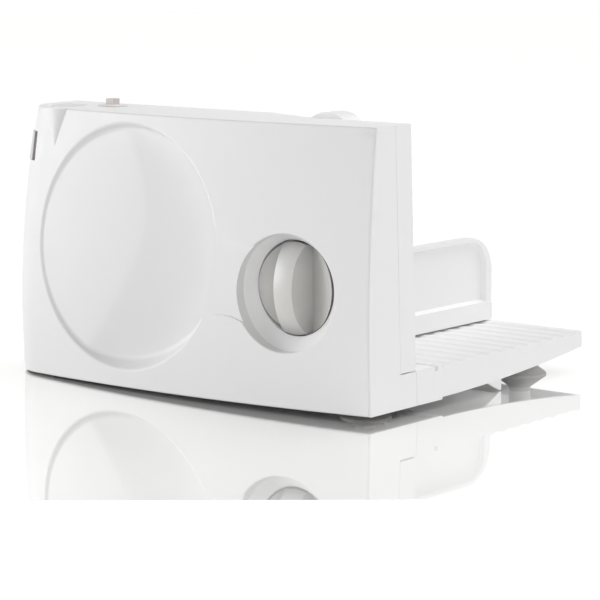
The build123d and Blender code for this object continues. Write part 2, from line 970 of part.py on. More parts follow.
# Hood round the blade, open where the slice is cut
with BuildPart() as hood_plan:
    with BuildSketch(Plane.XY.offset(deck_clear)):
        with BuildLine():
            Polyline(
                (hood_x, hood_y - hood_taper_depth),
                (taper_x, hood_y),
                (x_out_low, hood_y),
                (x_out_low, hood_y - hood_thickness),
                (taper_x, hood_y - hood_thickness),
                (hood_x, hood_y - hood_thickness - hood_taper_depth),
                close=True,
            )
        make_face()
    extrude(amount=height)

hood_opening_radius = blade_radius + blade_clearance
with BuildPart() as blade_hood:
    add(slab_slice(0, 0, end_wall_depth, hood_depth, deck_clear, height))
    add(hood_plan.part, mode=Mode.INTERSECT)
    add(
        blade_bar(
            hood_opening_radius + hood_rim_thickness,
            hood_depth - hood_thickness - hood_rim_length,
            hood_depth - hood_thickness / 2,
        )
    )
    for x, z in hood_post_places:
        add(deep_bar(x, z, screw_boss_radius, wall_back + boss_step + part_gap, hood_post_end(x)))
    cut(blade_bar(hood_opening_radius, end_wall_depth, hood_depth + overrun))
    cut(block(blade_x, x_out_high, behind(end_wall_depth), hood_y + overrun, -overrun, window_height))
    cut(block(hood_x, x_out_high, behind(end_wall_depth), hood_y + overrun, -overrun, height + overrun))
    cut(block(x_out_low, x_out_high, behind(end_wall_depth), hood_y + overrun, -overrun, deck_clear))
    for x, z in hood_post_places:
        cut(deep_bar(x, z, screw_radius + seat_gap, wall_back, wall_front + hood_screw_length + part_gap))
blade_hood.part.label = "blade_hood"

# Base block under the fence and the hood, with its smooth deck and the hinge lugs
with BuildPart() as base_block:
    add(slab_slice(0, 0, base_split_depth + part_gap, seam_depth, -overrun, deck_crest))
    cut(
        slab_slice(
            wall, part_gap, base_split_depth, seam_depth - wall, -overrun, deck_crest - base_deck_thickness
        )
    )
    for x, y in deck_screw_places:
        add(post(x, y, bottom_plate_top + part_gap, deck_crest - wall, screw_boss_radius))
    for x in hinge_lug_places:
        half_lug = hinge_lug_width / 2
        add(hinge_axis_bar(x - half_lug, x + half_lug, hinge_radius))
        add(
            block(
                x - half_lug,
                x + half_lug,
                seam_y - wall,
                hinge_y,
                hinge_z - hinge_radius,
                hinge_z + hinge_radius,
            )
        )
    cut(
        block(
            x_out_low,
            x_out_high,
            behind(guide_groove_depth),
            behind(guide_groove_depth + guide_groove_width),
            deck_crest - guide_groove_floor,
            deck_crest + wall,
        )
    )
    cut(blade_bar(hood_opening_radius, blade_face_depth - wall, blade_face_depth + edge_round))
    cut(hinge_axis_bar(x_out_low, x_out_high, hinge_pin_radius + seat_gap))
    for x, y in deck_screw_places:
        cut(
            post(
                x,
                y,
                bottom_plate_low,
                bottom_plate_low + plate_screw_length + part_gap,
                screw_radius + seat_gap,
            )
        )
base_block.part.label = "base_block"

# Bottom plate with its suction feet and screws
with BuildPart() as bottom_plate:
    add(slab_form(wall + part_gap, part_gap))
    add(
        block(
            x_out_low,
            x_out_high,
            face_y,
            behind(bottom_plate_end_depth),
            bottom_plate_low,
            bottom_plate_top,
        ),
        mode=Mode.INTERSECT,
    )
    for x, y in shelf_screw_places + deck_screw_places:
        cut(post(x, y, bottom_plate_low - wall, bottom_plate_top + wall, screw_radius + seat_gap))
    for x, y in front_foot_places + rear_foot_places:
        cut(post(x, y, bottom_plate_low - wall, bottom_plate_top + wall, foot_stem_radius + seat_gap))
bottom_plate.part.label = "bottom_plate"


def suction_foot(x, y, radius, top):
    """Suction cup with a stem that sits in its hole above it."""
    with BuildPart() as cup:
        with BuildSketch(Plane(origin=(x, y, 0), x_dir=(1, 0, 0), z_dir=(0, -1, 0))):
            with BuildLine():
                Polyline(
                    (0, radius * cup_hollow_share),
                    (radius - foot_lip, 0),
                    (radius, 0),
                    (radius, foot_lip),
                    (foot_waist_radius, top - foot_neck),
                    (foot_waist_radius, top),
                    (0, top),
                    close=True,
                )
            make_face()
        revolve(axis=Axis((x, y, 0), (0, 0, 1)))
    return cup.part


with BuildPart() as suction_feet:
    for radius, spots in ((foot_radius, front_foot_places), (rear_foot_radius, rear_foot_places)):
        for x, y in spots:
            add(suction_foot(x, y, radius, bottom_plate_low - seat_gap))
            add(post(x, y, bottom_plate_low - wall, bottom_plate_top, foot_stem_radius))
            add(
                post(
                    x,
                    y,
                    bottom_plate_top + seat_gap,
                    bottom_plate_top + foot_barb,
                    foot_stem_radius + foot_barb,
                )
            )
            add(post(x, y, bottom_plate_low, bottom_plate_top + foot_barb, foot_stem_radius))
suction_feet.part.label = "suction_feet"

with BuildPart() as bottom_screws:
    for x, y in shelf_screw_places + deck_screw_places:
        add(screw((x, y, bottom_plate_low), (x, y, bottom_plate_low + plate_screw_length)))
bottom_screws.part.label = "bottom_screws"

with BuildPart() as wall_screw_set:
    for x, z in wall_screw_places:
        add(screw((x, behind(wall_back), z), (x, behind(wall_back - wall_screw_length + part_gap), z)))
wall_screw_set.part.label = "wall_screws"

with BuildPart() as hood_screws:
    for x, z in hood_post_places:
        add(screw((x, behind(wall_front), z), (x, behind(wall_front + hood_screw_length), z)))
hood_screws.part.label = "hood_screws"

# Gland where the mains lead leaves the far end
with BuildPart() as cord_inlet:
    add(bar((far_end_x, inlet_y, inlet_height), (inlet_seat_x, inlet_y, inlet_height), inlet_flange_radius))
    add(
        bar(
            (far_end_x, inlet_y, inlet_height),
            (inlet_seat_x + inlet_length, inlet_y, inlet_height),
            inlet_radius,
        )
    )
    cut(
        bar(
            (x_out_low, inlet_y, inlet_height),
            (far_end_x + overrun, inlet_y, inlet_height),
            inlet_bore_radius,
        )
    )
cord_inlet.part.label = "cord_inlet"

# Blade with its dished middle and serrated edge
blade_back = blade_face_depth - blade_thickness
with BuildPart() as blade:
    with BuildSketch(Plane(origin=(blade_x, face_y, blade_height), x_dir=(0, 1, 0), z_dir=(1, 0, 0))):
        with BuildLine():
            Polyline(
                (blade_back - blade_cup_depth, blade_hole_radius),
                (blade_back - blade_cup_depth, blade_cup_radius),
                (blade_back, blade_cup_rim_radius),
                (blade_back, blade_radius - blade_bevel),
                (blade_face_depth - blade_edge_thickness, blade_radius),
                (blade_face_depth, blade_radius),
                (blade_face_depth, blade_cup_rim_radius),
                (blade_face_depth - blade_cup_depth, blade_cup_radius),
                (blade_face_depth - blade_cup_depth, blade_hole_radius),
                close=True,
            )
        make_face()
    revolve(axis=Axis((blade_x, 0, blade_height), (0, 1, 0)))
    with BuildSketch(at_y(behind(blade_back))):
        with Locations((blade_x, blade_height)):
            with PolarLocations(blade_radius + serration_radius - serration_bite, blade_serrations):
                Circle(serration_radius)
    extrude(amount=-blade_thickness, mode=Mode.SUBTRACT)
    with BuildSketch(at_y(behind(blade_back - blade_cup_depth))):
        with Locations((blade_x, blade_height)):
            with PolarLocations(drive_pin_circle, drive_pins):
                Circle(drive_pin_radius + part_gap)
    extrude(amount=-blade_thickness, mode=Mode.SUBTRACT)
blade.part.label = "blade"

cup_back = blade_back - blade_cup_depth
with BuildPart() as drive_plate:
    add(blade_bar(drive_plate_radius, cup_back - part_gap - drive_plate_thickness, cup_back - part_gap))
    add(blade_bar(blade_hole_radius - part_gap, cup_back - wall, cup_back + blade_thickness))
    with BuildSketch(at_y(behind(cup_back - wall))):
        with Locations((blade_x, blade_height)):
            with PolarLocations(drive_pin_circle, drive_pins):
                Circle(drive_pin_radius)
    extrude(amount=-(wall + blade_thickness))
    cut(blade_bar(axle_radius + seat_gap, end_wall_depth, hood_depth))
drive_plate.part.label = "drive_plate"

lock_near = cup_back + blade_thickness + part_gap
with BuildPart() as blade_lock:
    add(blade_bar(lock_radius, lock_near, lock_near + lock_thickness))
    add(
        block(
            blade_x - lock_radius,
            blade_x + lock_radius,
            behind(lock_near + lock_thickness / 2),
            behind(lock_near + lock_thickness + lock_bar_height),
            blade_height - lock_bar_width / 2,
            blade_height + lock_bar_width / 2,
        )
    )
    add(blade_bar(lock_radius, lock_near, hood_depth), mode=Mode.INTERSECT)
    cut(blade_bar(axle_radius + running_gap, end_wall_depth, axle_end_depth + part_gap))
blade_lock.part.label = "blade_lock"

with BuildPart() as blade_axle:
    add(blade_bar(axle_radius, axle_start_depth, axle_end_depth))
blade_axle.part.label = "blade_axle"

with BuildPart() as axle_bush:
    add(blade_bar(bush_radius, bush_start_depth, tower_end_depth + part_gap))
    cut(blade_bar(axle_radius + running_gap, end_wall_depth - overrun, hood_depth))
axle_bush.part.label = "axle_bush"

# Worm wheel: straight teeth, a gap on the line through the worm
wheel_near = wheel_mid_depth - wheel_width / 2
tooth_step = pi * wheel_module
with BuildPart() as worm_wheel:
    with BuildSketch(at_y(behind(wheel_near))):
        with Locations((blade_x, blade_height)):
            Circle(wheel_pitch_radius - wheel_root_drop)
            with PolarLocations(0, wheel_teeth, start_angle=90 + 360 / wheel_teeth / 2):
                with Locations(
                    (wheel_pitch_radius + (wheel_module - wheel_root_drop - wheel_tooth_sink) / 2, 0)
                ):
                    Trapezoid(
                        wheel_tooth_root,
                        wheel_module + wheel_root_drop + wheel_tooth_sink,
                        wheel_tooth_angle,
                        rotation=-90,
                    )
    extrude(amount=-wheel_width)
    cut(blade_bar(axle_radius + seat_gap, axle_start_depth - wall, hood_depth))
worm_wheel.part.label = "worm_wheel"

# Motor with its shaft and worm
worm_length = worm_turns * tooth_step
worm_start_x = blade_x - worm_length / 2
worm_frame = Plane(origin=(worm_start_x, worm_y, worm_z), x_dir=(0, 0, -1), z_dir=(1, 0, 0))
with BuildPart() as worm_thread:
    with BuildLine() as thread_path:
        Helix(pitch=tooth_step, height=worm_length, radius=worm_root_radius)
    thread_height = worm_pitch_radius + wheel_module - worm_root_radius
    with BuildSketch(Plane(origin=thread_path.line @ 0, x_dir=(1, 0, 0), z_dir=thread_path.line % 0)):
        with BuildLine():
            Polyline(
                (-thread_sink, -worm_thread_root / 2),
                (thread_height, -worm_thread_tip / 2),
                (thread_height, worm_thread_tip / 2),
                (-thread_sink, worm_thread_root / 2),
                close=True,
            )
        make_face()
    sweep(path=thread_path.line, is_frenet=True)

with BuildPart() as motor_shaft:
    add(worm_thread.part.moved(worm_frame.location))
    add(
        motor_bar(
            worm_start_x - worm_thread_root, worm_start_x + worm_length + worm_thread_root, worm_root_radius
        )
    )
    add(
        motor_bar(
            motor_far_x + end_bell_length / 2,
            from_end(shaft_lug_from_end) + shaft_lug_width,
            motor_shaft_radius,
        )
    )
motor_shaft.part.label = "motor_shaft"

with BuildPart() as motor_can:
    add(motor_bar(motor_far_x + end_bell_length + part_gap, motor_near_x, motor_radius))
    add(motor_bar(motor_near_x - wall, motor_near_x + motor_collar_length, motor_collar_radius))
    cut(motor_bar(motor_far_x, motor_near_x - motor_end_thickness, motor_radius - motor_skin))
    cut(motor_bar(motor_far_x, motor_near_x + overrun, motor_shaft_radius + running_gap))
motor_can.part.label = "motor_can"

with BuildPart() as motor_end_bell:
    add(motor_bar(motor_far_x, motor_far_x + end_bell_length, motor_radius))
    cut(
        motor_bar(
            motor_far_x + motor_end_thickness,
            motor_far_x + end_bell_length + part_gap,
            motor_radius - motor_skin,
        )
    )
    add(motor_bar(motor_far_x, motor_far_x + end_bell_length - part_gap, motor_collar_radius))
    cut(
        motor_bar(
            motor_far_x + motor_end_thickness,
            motor_far_x + end_bell_length + part_gap,
            motor_shaft_radius + running_gap,
        )
    )
motor_end_bell.part.label = "motor_end_bell"

rotor_radius = motor_radius - motor_skin - rotor_air_gap
rotor_far_x = motor_far_x + end_bell_length + wall
rotor_near_x = motor_near_x - motor_end_thickness - 2 * wall
with BuildPart() as motor_rotor:
    add(motor_bar(rotor_far_x, rotor_near_x, rotor_radius))
    cut(motor_bar(rotor_far_x - wall, rotor_near_x + wall, motor_shaft_radius + seat_gap))
motor_rotor.part.label = "motor_rotor"

fan_x = motor_near_x + motor_collar_length + part_gap
with BuildPart() as motor_fan:
    add(motor_bar(fan_x, fan_x + fan_length, fan_hub_radius))
    with BuildSketch(Plane(origin=(fan_x, worm_y, worm_z), x_dir=(0, 1, 0), z_dir=(1, 0, 0))):
        with PolarLocations(fan_radius / 2, fan_blades):
            Rectangle(fan_radius, fan_blade_thickness)
    extrude(amount=fan_length)
    cut(motor_bar(fan_x - wall, fan_x + fan_length + wall, motor_shaft_radius + seat_gap))
motor_fan.part.label = "motor_fan"

with BuildPart() as motor_rings:
    for start in (motor_far_x + edge_round, motor_near_x - edge_round - mount_ring_width):
        add(motor_bar(start, start + mount_ring_width, ring_radius))
        cut(motor_bar(start - wall, start + overrun, motor_radius + seat_gap))
motor_rings.part.label = "motor_rings"

# Thickness knob with its upright grip, spindle and bush
knob_rim_y = behind(knob_rim_depth)
with BuildPart() as knob_dome_form:
    with BuildSketch(Plane(origin=(knob_x, knob_rim_y, knob_height), x_dir=(1, 0, 0), z_dir=(0, 0, 1))):
        with BuildLine():
            crown = (0, -knob_dome)
            shoulder = (knob_radius * knob_shoulder_share, -knob_dome * knob_shoulder_rise_share)
            rim = (knob_radius, 0)
            ThreePointArc(crown, shoulder, rim)
            Polyline(rim, (knob_radius, knob_rim_thickness), (0, knob_rim_thickness), crown)
        make_face()
    revolve(axis=Axis((knob_x, knob_rim_y, knob_height), (0, 1, 0)))

crease_y = behind(knob_rim_depth + knob_crease_sink)
knob_back_y = behind(knob_rim_depth + knob_rim_thickness)
ridge_front_y = knob_rim_y - knob_dome - wall
flank_half = between(knob_ridge_half, knob_crease_half, knob_flank_share)
flank_y = (ridge_front_y + crease_y) / 2
with BuildPart() as knob:
    with BuildSketch(Plane.XY.offset(knob_height - knob_radius)):
        with BuildLine():
            Polyline(
                (knob_x + knob_crease_half, crease_y),
                (knob_x + knob_radius, knob_rim_y),
                (knob_x + knob_radius, knob_back_y),
                (knob_x - knob_radius, knob_back_y),
                (knob_x - knob_radius, knob_rim_y),
                (knob_x - knob_crease_half, crease_y),
            )
            ThreePointArc(
                (knob_x - knob_crease_half, crease_y),
                (knob_x - flank_half, flank_y),
                (knob_x - knob_ridge_half, ridge_front_y),
            )
            Line((knob_x - knob_ridge_half, ridge_front_y), (knob_x + knob_ridge_half, ridge_front_y))
            ThreePointArc(
                (knob_x + knob_ridge_half, ridge_front_y),
                (knob_x + flank_half, flank_y),
                (knob_x + knob_crease_half, crease_y),
            )
        make_face()
    extrude(amount=2 * knob_radius)
    add(knob_dome_form.part, mode=Mode.INTERSECT)
    cut(knob_bar(spindle_radius + seat_gap, knob_rim_depth - knob_dome / 2, bowl_floor_depth))
knob.part.label = "knob"

groove_lead = radians(groove_lead_angle)
groove_start = nut_start_depth + nut_peg_depth - spindle_groove_pitch * groove_lead_angle / 360
with BuildPart() as groove_tool:
    with BuildLine() as groove_path:
        Helix(
            pitch=spindle_groove_pitch,
            height=spindle_groove_pitch * spindle_groove_turns,
            radius=spindle_radius,
            lefthand=True,
        )
    with BuildSketch(Plane(origin=groove_path.line @ 0, z_dir=groove_path.line % 0)):
        Circle(spindle_groove_radius)
    sweep(path=groove_path.line, is_frenet=True)
groove_frame = Plane(
    origin=(knob_x, behind(groove_start), knob_height),
    x_dir=(sin(groove_lead), 0, cos(groove_lead)),
    z_dir=(0, 1, 0),
)
with BuildPart() as knob_spindle:
    add(knob_bar(spindle_radius, knob_rim_depth - knob_dome / 2 + part_gap, spindle_end_depth))
    cut(groove_tool.part.moved(groove_frame.location))
knob_spindle.part.label = "knob_spindle"

with BuildPart() as spindle_bush:
    add(knob_bar(spindle_bush_radius, bowl_floor_depth, bowl_floor_depth + spindle_bush_length))
    cut(
        knob_bar(
            spindle_radius + running_gap,
            bowl_floor_depth - wall,
            bowl_floor_depth + 2 * spindle_bush_length,
        )
    )
spindle_bush.part.label = "spindle_bush"

# Fence: a shallow tray that follows the blade's edge, with its nut and guide rods
fence_near = end_wall_depth + part_gap
fence_foot = deck_crest + fence_lift
fence_left = hood_x + part_gap
fence_top = window_height - edge_round
with BuildPart() as fence_hollow:
    add(slab_slice(fence_skin, 0, 0, fence_depth - fence_skin, fence_foot + fence_skin, height))
    cut(block(x_out_low, blade_x, face_y, hood_y, -overrun, height + overrun))
    cut(block(x_out_low, fence_left + fence_skin, face_y, hood_y, fence_top - fence_skin, height + overrun))
    cut(blade_bar(blade_radius + fence_arc_gap + fence_skin, 0, hood_depth))

with BuildPart() as fence_plate:
    add(slab_slice(0, 0, fence_near, fence_depth, fence_foot, height))
    cut(block(x_out_low, blade_x, face_y, hood_y + overrun, -overrun, height + overrun))
    cut(block(x_out_low, fence_left, face_y, hood_y + overrun, fence_top, height + overrun))
    cut(blade_bar(blade_radius + fence_arc_gap, 0, hood_depth))
    cut(fence_hollow.part)
    for index in range(fence_grooves):
        z = fence_foot + fence_groove_pitch * (index + 1)
        groove_low = z - fence_groove_width / 2
        cut(
            block(
                x_out_low,
                x_out_high,
                fence_y - fence_groove_cut,
                fence_y + wall,
                groove_low,
                groove_low + fence_groove_width,
            )
        )
    add(knob_bar(nut_radius, nut_start_depth, fence_depth - fence_skin / 2))
    cut(knob_bar(spindle_radius + running_gap, nut_start_depth - wall, fence_depth - fence_skin))
    for x, z in rod_places:
        add(deep_bar(x, z, rod_radius, rod_start_depth, fence_depth - fence_skin / 2))
    peg_y = behind(nut_start_depth + nut_peg_depth)
    peg_low = knob_height + spindle_radius - nut_peg_bite
    add(post(knob_x, peg_y, peg_low, knob_height + nut_radius - edge_round, nut_peg_radius))
fence_plate.part.label = "fence_plate"

# Round power button, its spring and its switch on the bracket
switch_top = bracket_top + part_gap + power_switch_size[2]
with BuildPart() as power_button:
    add(post(button_x, button_y, height - button_skirt, height, button_radius))
    cut(
        post(
            button_x,
            button_y,
            height - button_skirt - part_gap,
            height - button_cap_thickness,
            button_radius - button_skin,
        )
    )
    add(post(button_x, button_y, switch_top + button_travel + part_gap, height - stem_sink, stem_radius))
power_button.part.label = "power_button"

spring_low = switch_top + part_gap
spring_high = height - button_cap_thickness - part_gap
spring_rise = spring_high - spring_low - 2 * spring_wire
with BuildPart() as button_spring:
    with BuildLine() as spring_path:
        Helix(
            pitch=spring_rise / spring_turns,
            height=spring_rise,
            radius=spring_radius,
            center=(button_x, button_y, spring_low + spring_wire),
        )
    with BuildSketch(Plane(origin=spring_path.line @ 0, z_dir=spring_path.line % 0)):
        Circle(spring_wire)
    sweep(path=spring_path.line, is_frenet=True)
button_spring.part.label = "button_spring"

with BuildPart() as power_switch:
    switch_y = button_y + power_switch_shift
    half_x = power_switch_size[0] / 2
    half_y = power_switch_size[1] / 2
    add(
        block(
            button_x - half_x,
            button_x + half_x,
            switch_y - half_y,
            switch_y + half_y,
            bracket_top + part_gap,
            switch_top,
        )
    )
power_switch.part.label = "power_switch"

# Slide switch: thumb piece on the top, body under it
slide_body_top = bracket_top + part_gap + slide_switch_size[2]
with BuildPart() as slide_switch:
    add(
        block(
            slide_x - slide_base_size[0] / 2,
            slide_x + slide_base_size[0] / 2,
            slide_y - slide_base_size[1] / 2,
            slide_y + slide_base_size[1] / 2,
            height + slide_lift,
            height + slide_lift + slide_base_size[2],
        )
    )
    add(
        block(
            slide_x - slide_nub_size[0] / 2,
            slide_x + slide_nub_size[0] / 2,
            slide_y - slide_nub_size[1] / 2,
            slide_y + slide_nub_size[1] / 2,
            height + slide_lift,
            height + slide_lift + slide_base_size[2] + slide_nub_size[2],
        )
    )
    add(
        block(
            slide_x - slide_stem / 2,
            slide_x + slide_stem / 2,
            slide_y - slide_stem / 2,
            slide_y + slide_stem / 2,
            slide_body_top - slide_pocket + part_gap,
            height + slide_lift + slide_base_size[2],
        )
    )
slide_switch.part.label = "slide_switch"

with BuildPart() as slide_switch_body:
    add(
        block(
            slide_x - slide_switch_size[0] / 2,
            slide_x + slide_switch_size[0] / 2,
            slide_y - slide_switch_size[1] / 2,
            slide_y + slide_switch_size[1] / 2,
            bracket_top + part_gap,
            slide_body_top,
        )
    )
    cut(
        block(
            slide_x - half_slot,
            slide_x + half_slot,
            slide_y - slot_half_width,
            slide_y + slot_half_width,
            slide_body_top - slide_pocket,
            slide_body_top + wall,
        )
    )
slide_switch_body.part.label = "slide_switch_body"

# Safety button, a little proud of the rounded far end, with a slot in front of it
safety_switch_x = from_far(safety_switch_from_far)
safety_switch_y = behind(safety_switch_depth)
safety_inner_x = from_far(safety_inner_from_far)
with BuildPart() as safety_button:
    add(outer_form.moved(Location((-safety_proud, 0, 0))))
    add(
        block(x_out_low, safety_inner_x, face_y, behind(safety_back_depth), safety_low, safety_high),
        mode=Mode.INTERSECT,
    )
    stem_end_x = safety_switch_x - safety_switch_size[0] / 2 - safety_travel - part_gap
    add(
        bar(
            (safety_inner_x - wall, safety_switch_y, safety_z),
            (stem_end_x, safety_switch_y, safety_z),
            safety_stem_radius,
        )
    )
safety_button.part.label = "safety_button"

with BuildPart() as safety_switch:
    half_x = safety_switch_size[0] / 2
    half_y = safety_switch_size[1] / 2
    add(
        block(
            safety_switch_x - half_x,
            safety_switch_x + half_x,
            safety_switch_y - half_y,
            safety_switch_y + half_y,
            bracket_top + part_gap,
            bracket_top + part_gap + safety_switch_size[2],
        )
    )
safety_switch.part.label = "safety_switch"

with BuildPart() as switch_bracket:
    add(
        block(
            from_far(bracket_from_far[0]),
            from_far(bracket_from_far[1]),
            behind(bracket_depths[0]),
            behind(bracket_depths[1]),
            bracket_top - bracket_thickness,
            bracket_top,
        )
    )
    cut(
        block(
            x_out_low,
            from_far(safety_slot_from_far) + notch_gap,
            face_y,
            behind(safety_back_depth) + notch_gap,
            bracket_top - 2 * wall,
            bracket_top + wall,
        )
    )
    for x, y in bracket_post_places:
        cut(post(x, y, bracket_top - 2 * wall, bracket_top + wall, screw_radius + seat_gap))
switch_bracket.part.label = "switch_bracket"

with BuildPart() as bracket_screws:
    for x, y in bracket_post_places:
        add(
            screw(
                (x, y, bracket_top - bracket_thickness), (x, y, bracket_top + post_screw_length - part_gap)
            )
        )
bracket_screws.part.label = "bracket_screws"

with BuildPart() as circuit_board:
    board_z = bottom_plate_top + board_lift
    add(
        block(
            from_far(board_from_far[0]),
            from_far(board_from_far[1]),
            behind(board_depths[0]),
            behind(board_depths[1]),
            board_z,
            board_z + board_thickness,
        )
    )
    for x, y in board_part_places:
        add(post(x, y, bottom_plate_top + part_gap, board_z + board_part_height, board_part_radius))
circuit_board.part.label = "circuit_board"

# Fold-out table
table_x = from_end(table_from_end)


def table_form(inset, drop, top):
    """The table's block between its near face, its outer edge and its curved foot."""
    near = seam_y + part_gap + inset
    far = table_end_y - inset
    with BuildPart() as form:
        with BuildSketch(Plane.YZ.offset(table_x + inset)):
            with BuildLine():
                foot = ThreePointArc(
                    (near, skirt_seam_height - drop),
                    (behind(skirt_middle_depth), skirt_middle_height - drop),
                    (far, skirt_end_height - drop),
                )
                Polyline(foot @ 1, (far, top), (near, top), foot @ 0)
            make_face()
        extrude(amount=table_from_end + overrun)
        add(slab_slice(inset, overrun, seam_depth, depth + overrun, -overrun, height), mode=Mode.INTERSECT)
    return form.part


with BuildPart() as fold_table:
    add(table_form(0, 0, deck_crest))
    outer_corners = fold_table.edges().filter_by(
        lambda edge: edge.center().Y > table_end_y - wall
        and abs(edge.bounding_box().size.Z) > wall
        and edge.length < deck_crest
    )
    fillet(outer_corners, table_edge_round)
    cut(table_form(wall, overrun, deck_valley - deck_thickness))
    # Bar along the hinge, rounded on the side that turns past the base
    add(
        block(
            table_x,
            knob_end_x - hinge_pin_inset / 2,
            seam_y + part_gap,
            seam_y + part_gap + hinge_bar,
            hinge_z - hinge_radius,
            deck_valley,
        )
    )
    cut(
        block(x_out_low, x_out_high, seam_y, hinge_y, hinge_z, deck_crest + wall) - hinge_axis_bar(
            x_out_low, x_out_high, hinge_radius
        )
    )
    for x in hinge_lug_places:
        half_notch = hinge_lug_width / 2 + lug_side_gap
        cut(
            block(
                x - half_notch,
                x + half_notch,
                seam_y,
                hinge_y + hinge_radius + lug_side_gap,
                hinge_z - hinge_radius - lug_side_gap,
                deck_crest + wall,
            )
        )
    cut(
        hinge_axis_bar(
            from_end(table_from_end - hinge_pin_inset) - part_gap,
            from_end(hinge_pin_inset) + part_gap,
            hinge_pin_radius + running_gap,
        )
    )
    # Posts over the feet and the small web at the knob end
    for x, y in table_foot_places:
        add(post(x, y, table_foot_top, deck_valley - deck_thickness / 2, table_foot_post))
        cut(
            post(
                x, y, table_foot_top - wall, table_foot_top + table_stem_length, foot_stem_radius + seat_gap
            )
        )
    cut(deck_grooves(deck_first_valley, deck_grooves_count))
    web_x = knob_end_x - web_inset
    with BuildSketch(Plane.YZ.offset(web_x - web_thickness)):
        with BuildLine():
            Polyline(
                (behind(web_near_depth), web_head_height),
                (behind(web_far_depth), web_head_height),
                (behind(web_far_depth), web_foot_height),
                (behind(web_far_depth) - web_toe, web_foot_height),
                close=True,
            )
        make_face()
    extrude(amount=web_thickness)
fold_table.part.label = "fold_table"

with BuildPart() as table_feet:
    for x, y in table_foot_places:
        add(suction_foot(x, y, table_foot_radius, table_foot_top - seat_gap))
        add(
            post(
                x, y, table_foot_top - wall, table_foot_top + table_stem_length - part_gap, foot_stem_radius
            )
        )
table_feet.part.label = "table_feet"

with BuildPart() as hinge_pin:
    add(
        hinge_axis_bar(
            from_end(table_from_end - hinge_pin_inset), from_end(hinge_pin_inset), hinge_pin_radius
        )
    )
hinge_pin.part.label = "hinge_pin"

# Carriage: upright wall, platform and screws
carriage_x = from_end(carriage_from_end)
carriage_near_y = behind(carriage_near_depth)
carriage_far_y = behind(carriage_far_depth)
platform_top = platform_low + platform_thickness
platform_end_x = carriage_x - carriage_wall_thickness
flange_low = platform_top + part_gap
flange_top = flange_low + flange_thickness
flange_screw_places = [
    (platform_end_x - flange_width / 2, between(carriage_near_y, carriage_far_y, share))
    for share in flange_screw_shares
]
with BuildPart() as carriage_wall:
    with BuildSketch(Plane.YZ.offset(platform_end_x)):
        with BuildLine():
            corner_centre = (carriage_far_y - carriage_corner, carriage_wall_top - carriage_corner)
            near_top = (carriage_near_y + carriage_near_corner, carriage_wall_top)
            near_centre = (carriage_near_y + carriage_near_corner, carriage_wall_top - carriage_near_corner)
            Line(near_top, (corner_centre[0], carriage_wall_top))
            CenterArc(corner_centre, carriage_corner, 0, 90)
            Polyline(
                (carriage_far_y, corner_centre[1]),
                (carriage_far_y, carriage_wall_foot),
                (carriage_near_y, carriage_wall_foot),
                (carriage_near_y, near_centre[1]),
            )
            CenterArc(near_centre, carriage_near_corner, 90, 90)
        make_face()
    extrude(amount=carriage_wall_thickness - carriage_band_proud)
    # Sunk panel inside the rim
    with BuildSketch(Plane.YZ.offset(carriage_x - carriage_band_proud)):
        with BuildLine():
            panel_near = carriage_near_y + carriage_rim
            panel_far = carriage_far_y - carriage_rim
            panel_foot = carriage_band_height + carriage_rim_top / 2
            panel_top = carriage_wall_top - carriage_rim_top
            panel_corner = carriage_corner - carriage_rim
            panel_centre = (panel_far - panel_corner, panel_top - panel_corner)
            Line((panel_near, panel_top), (panel_centre[0], panel_top))
            CenterArc(panel_centre, panel_corner, 0, 90)
            Polyline(
                (panel_far, panel_centre[1]),
                (panel_far, panel_foot),
                (panel_near, panel_foot),
                (panel_near, panel_top),
            )
        make_face()
    extrude(amount=-carriage_panel_sink, taper=panel_taper, mode=Mode.SUBTRACT)
    add(
        block(
            carriage_x - wall,
            carriage_x,
            carriage_near_y,
            carriage_far_y,
            carriage_wall_foot,
            carriage_band_height,
        )
    )
    # Flange that lies on the platform
    add(
        block(
            platform_end_x - flange_width,
            platform_end_x + wall,
            carriage_near_y,
            carriage_far_y - carriage_rim,
            flange_low,
            flange_top,
        )
    )
    for x, y in flange_screw_places:
        cut(post(x, y, flange_top - screw_head_height, flange_top + wall, screw_head_radius + seat_gap))
        cut(post(x, y, platform_low, flange_top + wall, screw_radius + seat_gap))
carriage_wall.part.label = "carriage_wall"

runner_low_x = platform_end_x - platform_length + carriage_near_corner
runner_high_x = platform_end_x - carriage_near_corner
runner_y = behind(guide_groove_depth + guide_groove_width / 2)
runner_pegs = (runner_low_x + 2 * wall, runner_high_x - flange_width - wall)
with BuildPart() as carriage_platform:
    add(
        block(
            platform_end_x - platform_length,
            platform_end_x - part_gap,
            carriage_near_y,
            carriage_far_y - platform_margin,
            platform_low,
            platform_top,
        )
    )
    vertical_corners = carriage_platform.edges().filter_by(Axis.Z).sort_by(Axis.X)[:rounded_corners]
    fillet(vertical_corners, carriage_near_corner)
    for x in runner_pegs:
        cut(post(x, runner_y, platform_low - wall, platform_top + wall, runner_peg_radius + running_gap))
    for x, y in flange_screw_places:
        cut(post(x, y, platform_low - wall, platform_top + wall, screw_radius + seat_gap))
carriage_platform.part.label = "carriage_platform"

with BuildPart() as carriage_runner:
    add(
        block(
            runner_low_x,
            runner_high_x,
            behind(guide_groove_depth) + guide_rib_clearance,
            behind(guide_groove_depth + guide_groove_width) - guide_rib_clearance,
            deck_crest - guide_groove_floor + guide_rib_floor_gap,
            platform_low - part_gap,
        )
    )
    for x in runner_pegs:
        add(post(x, runner_y, deck_crest - wall / 2, platform_top - part_gap, runner_peg_radius))
carriage_runner.part.label = "carriage_runner"

with BuildPart() as carriage_screws:
    for x, y in flange_screw_places:
        add(screw((x, y, flange_top - screw_head_height), (x, y, platform_low)))
carriage_screws.part.label = "carriage_screws"

